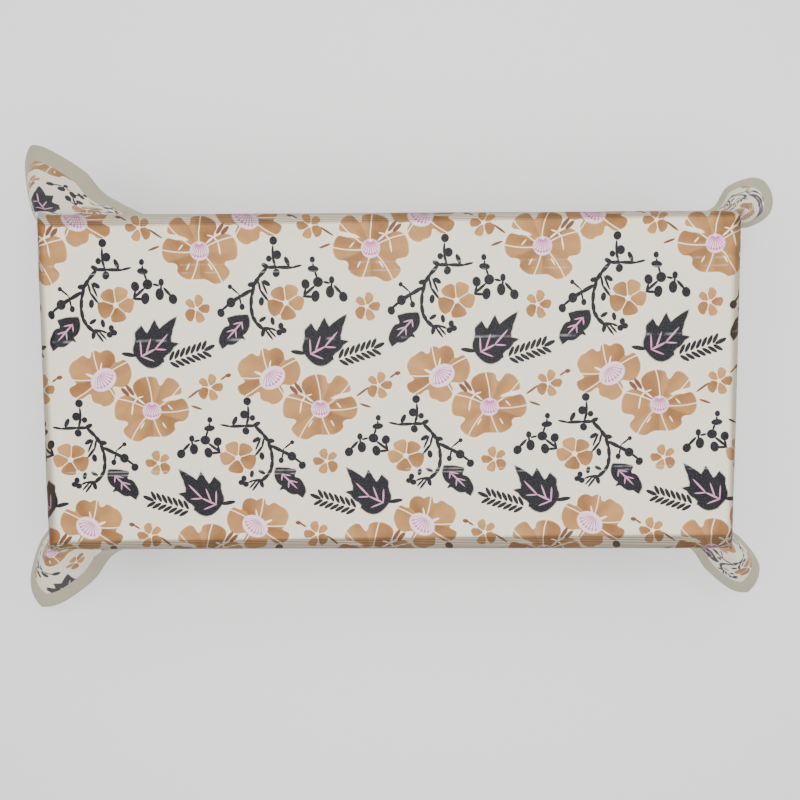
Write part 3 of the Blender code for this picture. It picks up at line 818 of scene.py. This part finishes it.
def pushOffBoard(points, low, high):
    # the nearest places outside the board with its rounded edges
    edge = drape["edge"]
    skin = edge + cloth["lift"]
    middle = (low + high) / 2
    half = np.maximum((high - low) / 2 - edge, 0)
    q = np.abs(points - middle) - half
    out = np.maximum(q, 0)
    far = np.linalg.norm(out, axis=1)
    inside = far < skin
    deep = far < 1e-7
    way = np.where(deep[:, None], np.eye(3)[q.argmax(1)], out / np.maximum(far, 1e-7)[:, None])
    base = np.where(deep[:, None], np.where(np.eye(3)[q.argmax(1)] > 0, 0, q), np.minimum(q, 0)) + half
    pushed = np.sign(points - middle) * (base + way * skin) + middle
    return np.where(inside[:, None], pushed, points)


def relaxed(grid, low, high):
    # rounds the crease over the table's edge: smooth, then off the board again
    shape = grid.shape
    past = np.maximum(np.abs(grid[..., 0]) - high[0], np.abs(grid[..., 1]) - high[1])
    near = np.clip(1 - np.abs(past) / drape["relaxReach"], 0, 1)
    near = np.where(grid[..., 2] > high[2] - drape["relaxDepth"], near, 0)[..., None]
    for _ in range(drape["rounds"]):
        soft = grid.copy()
        soft[1:-1, 1:-1] = (grid[:-2, 1:-1] + grid[2:, 1:-1] + grid[1:-1, :-2] + grid[1:-1, 2:]) / 4
        grid = grid + (soft - grid) * 0.5 * near
        grid = pushOffBoard(grid.reshape(-1, 3), low, high).reshape(shape)
    return grid


settling = {
    "frames": 16,
    "quality": 6,
    "mass": 0.00045,
    "stretch": 60.0,
    "bend": 1.2,
    "damping": 6.0,
    "friction": 12.0,
    "gap": 0.001,
    "topHold": 1.0,
    "earHold": 0.55,
    "skirtHold": 0.12,
}


def boardCollider(low, high):
    # a passing stand-in for the top, for the cloth to settle against
    form = bmesh.new()
    bmesh.ops.create_cube(form, size=1.0)
    bmesh.ops.scale(form, vec=high - low, verts=form.verts)
    bmesh.ops.translate(form, vec=(high + low) / 2, verts=form.verts)
    bmesh.ops.bevel(form, geom=form.edges, offset=drape["edge"], segments=5, profile=0.5, affect="EDGES")
    mesh = bpy.data.meshes.new("collider")
    form.to_mesh(mesh)
    form.free()
    board = bpy.data.objects.new("collider", mesh)
    bpy.context.scene.collection.objects.link(board)
    board.modifiers.new("collision", "COLLISION")
    board.collision.thickness_outer = settling["gap"]
    board.collision.cloth_friction = settling["friction"]
    return board


def settled(piece, flat, holds, low, high):
    # a short cloth run from the hung shape: its weight, its own flat size and its stiffness
    board = boardCollider(low, high)
    piece.shape_key_add(name="hung")
    rest = piece.shape_key_add(name="flat")
    rest.data.foreach_set("co", flat.astype(np.float32).ravel())
    group = piece.vertex_groups.new(name="hold")
    for share in np.unique(holds):
        group.add(np.flatnonzero(holds == share).tolist(), float(share), "REPLACE")
    run = piece.modifiers.new("settle", "CLOTH")
    rule = run.settings
    rule.quality = settling["quality"]
    rule.mass = settling["mass"]
    rule.tension_stiffness = settling["stretch"]
    rule.compression_stiffness = settling["stretch"]
    rule.shear_stiffness = settling["stretch"] / 3
    rule.bending_model = "ANGULAR"
    rule.bending_stiffness = settling["bend"]
    rule.air_damping = settling["damping"]
    rule.vertex_group_mass = "hold"
    rule.pin_stiffness = 1.0
    rule.rest_shape_key = rest
    run.collision_settings.distance_min = settling["gap"]
    run.collision_settings.use_self_collision = False
    run.point_cache.frame_start = 1
    run.point_cache.frame_end = settling["frames"]
    for tick in range(1, settling["frames"] + 1):
        bpy.context.scene.frame_set(tick)
    seen = piece.evaluated_get(bpy.context.evaluated_depsgraph_get())
    places = np.zeros(len(piece.data.vertices) * 3, np.float32)
    seen.data.vertices.foreach_get("co", places)
    bpy.context.scene.frame_set(1)
    piece.modifiers.remove(run)
    piece.shape_key_clear()
    piece.vertex_groups.clear()
    shape = board.data
    bpy.data.objects.remove(board)
    bpy.data.meshes.remove(shape)
    return places.reshape(-1, 3).astype(float)


def sheetGrid():
    # the sheet's points, flat in its own directions and then as it is laid on the table
    long, wide, cell = cloth["length"], cloth["width"], cloth["cell"]
    across, down = round(long / cell), round(wide / cell)
    u, v = np.meshgrid(np.linspace(-long / 2, long / 2, across + 1),
                       np.linspace(-wide / 2, wide / 2, down + 1))
    turn = math.radians(cloth["turn"])
    x = math.cos(turn) * u - math.sin(turn) * v + cloth["shift"][0]
    y = math.sin(turn) * u + math.cos(turn) * v + cloth["shift"][1]
    return across, down, u.ravel(), v.ravel(), x.ravel(), y.ravel()


def sheetMesh(places, across, down, u, v):
    faces = []
    for j in range(down):
        for i in range(across):
            k = j * (across + 1) + i
            faces.append((k, k + 1, k + across + 2, k + across + 1))
    mesh = bpy.data.meshes.new("drapedCloth")
    mesh.from_pydata(places.tolist(), [], faces)
    layer = mesh.uv_layers.new(name="flatCloth")
    corner = np.zeros(len(mesh.loops), np.int32)
    mesh.loops.foreach_get("vertex_index", corner)
    flat = np.stack([u / cloth["length"] + 0.5, v / cloth["width"] + 0.5], 1)
    layer.uv.foreach_set("vector", flat[corner].astype(np.float32).ravel())
    mesh.polygons.foreach_set("use_smooth", [True] * len(mesh.polygons))
    return mesh


def holdShares(x, y, hung, high):
    # how firmly the settling cloth is held: the level top, the ears, and the rest
    level = high - drape["topMargin"]
    onTop = (np.abs(hung[:, 0]) < level[0]) & (np.abs(hung[:, 1]) < level[1])
    fold = high - drape["earMargin"]
    inEar = (np.abs(x) > fold[0]) & (np.abs(y) > fold[1])
    shares = np.where(inEar, settling["earHold"], settling["skirtHold"])
    return np.where(onTop, settling["topHold"], shares)


def makeCloth():
    across, down, u, v, x, y = sheetGrid()
    low, high = (np.array(corner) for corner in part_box("table_top"))
    top = high[2] + cloth["lift"]
    hung = hungPlaces(x, y, top, high[0] + cloth["lift"], high[1] + cloth["lift"])
    hung = relaxed(hung.reshape(down + 1, across + 1, 3), low, high).reshape(-1, 3)
    mesh = sheetMesh(hung, across, down, u, v)
    piece = bpy.data.objects.new("drapedCloth", mesh)
    bpy.context.scene.collection.objects.link(piece)
    holds = holdShares(x, y, hung, high)
    spread = np.stack([u, v, np.full(u.size, top)], 1)
    placed = settled(piece, spread, holds, low, high)
    print("cloth settled, largest move %.4f m" % np.linalg.norm(placed - hung, axis=1).max())
    placed = pushOffBoard(placed, low, high)
    mesh.vertices.foreach_set("co", placed.astype(np.float32).ravel())
    mesh.update()
    mesh.materials.append(makeVinyl())
    mesh.materials.append(makeFlannel())
    wall = piece.modifiers.new("wall", "SOLIDIFY")
    wall.thickness = cloth["thick"]
    wall.offset = -1.0
    wall.material_offset = 1
    wall.material_offset_rim = 1
    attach(piece, "cloth")
    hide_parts("tablecloth")


makeCloth()
print("cloth hung")


# the table's finishes
def makeWood(name, turn):
    # beech with its grain along X before the turn
    material, tree, surface = newMaterial(name)
    start = Wire(tree, surface.outputs[0])
    place = start.node("ShaderNodeTexCoord", result=3)
    lined = place.node("ShaderNodeMapping", None, {"Vector": place, "Rotation": turn})
    long = lined.vector("MULTIPLY", (1.6, 22.0, 22.0))
    broad = long.node("ShaderNodeTexNoise", None, {"Vector": long, "Scale": 1.3, "Detail": 4.0,
                                                   "Distortion": 0.6})
    fine = lined.vector("MULTIPLY", (14.0, 420.0, 420.0))
    fine = fine.node("ShaderNodeTexNoise", None, {"Vector": fine, "Scale": 1.0, "Detail": 3.0})
    fleck = lined.vector("MULTIPLY", (95.0, 620.0, 620.0))
    fleck = fleck.node("ShaderNodeTexVoronoi", None, {"Vector": fleck, "Scale": 1.0})
    dash = ((0.22 - fleck) * 9).clamped()
    body = (broad * 0.9 + fine * 0.35 - 0.2).clamped()
    paint = body.ramp([(0.15, colour(168, 118, 76)), (0.5, colour(194, 146, 100)),
                       (0.85, colour(212, 168, 122))])
    paint = (dash * 0.55).blend(paint, colour(132, 84, 50))
    tree.links.new(paint.socket, surface.inputs["Base Color"])
    tree.links.new((0.38 + fine * 0.2).socket, surface.inputs["Roughness"])
    height = fine * 0.6 - dash * 0.5
    bump = height.node("ShaderNodeBump", None, {"Height": height, "Strength": 0.25, "Distance": 0.0006})
    tree.links.new(bump.socket, surface.inputs["Normal"])
    return material


def makeZinc():
    material, tree, surface = newMaterial("zincPlate")
    start = Wire(tree, surface.outputs[0])
    place = start.node("ShaderNodeTexCoord", result=3)
    cloud = place.node("ShaderNodeTexNoise", None, {"Vector": place, "Scale": 90.0, "Detail": 4.0})
    scratch = place.vector("MULTIPLY", (900.0, 60.0, 300.0))
    scratch = scratch.node("ShaderNodeTexNoise", None, {"Vector": scratch, "Scale": 1.0, "Detail": 2.0})
    paint = cloud.ramp([(0.3, colour(176, 178, 182)), (0.55, colour(206, 207, 206)),
                        (0.8, colour(216, 210, 192))])
    tree.links.new(paint.socket, surface.inputs["Base Color"])
    surface.inputs["Metallic"].default_value = 1.0
    tree.links.new((0.22 + cloud * 0.2 + scratch * 0.12).socket, surface.inputs["Roughness"])
    bump = scratch.node("ShaderNodeBump", None, {"Height": scratch, "Strength": 0.12, "Distance": 0.0003})
    tree.links.new(bump.socket, surface.inputs["Normal"])
    return material


def makeNylon():
    material, tree, surface = newMaterial("blackNylon")
    start = Wire(tree, surface.outputs[0])
    place = start.node("ShaderNodeTexCoord", result=3)
    grit = place.node("ShaderNodeTexNoise", None, {"Vector": place, "Scale": 1500.0, "Detail": 3.0})
    dust = place.node("ShaderNodeTexNoise", None, {"Vector": place, "Scale": 60.0, "Detail": 3.0})
    paint = ((dust - 0.45) * 1.6).clamped().blend(colour(22, 22, 24), colour(52, 51, 50))
    tree.links.new(paint.socket, surface.inputs["Base Color"])
    tree.links.new((0.48 + grit * 0.2).socket, surface.inputs["Roughness"])
    bump = grit.node("ShaderNodeBump", None, {"Height": grit, "Strength": 0.3, "Distance": 0.0003})
    tree.links.new(bump.socket, surface.inputs["Normal"])
    return material


def finishTable():
    right = math.pi / 2
    alongX = makeWood("beechAlongX", (0, 0, 0))
    alongY = makeWood("beechAlongY", (0, 0, -right))
    alongZ = makeWood("beechAlongZ", (0, right, 0))
    zinc, nylon = makeZinc(), makeNylon()
    for name, node in nodes.items():
        if name == "tablecloth":
            continue
        if name.startswith("leg_"):
            finish = alongZ
        elif name.startswith(("short_apron", "middle_bearer")):
            finish = alongY
        elif name.startswith(("table_top", "long_apron")):
            finish = alongX
        elif name.startswith("foot_pad"):
            finish = nylon
        else:
            finish = zinc
        for slot in node.material_slots:
            slot.material = finish


finishTable()
print("table finished")
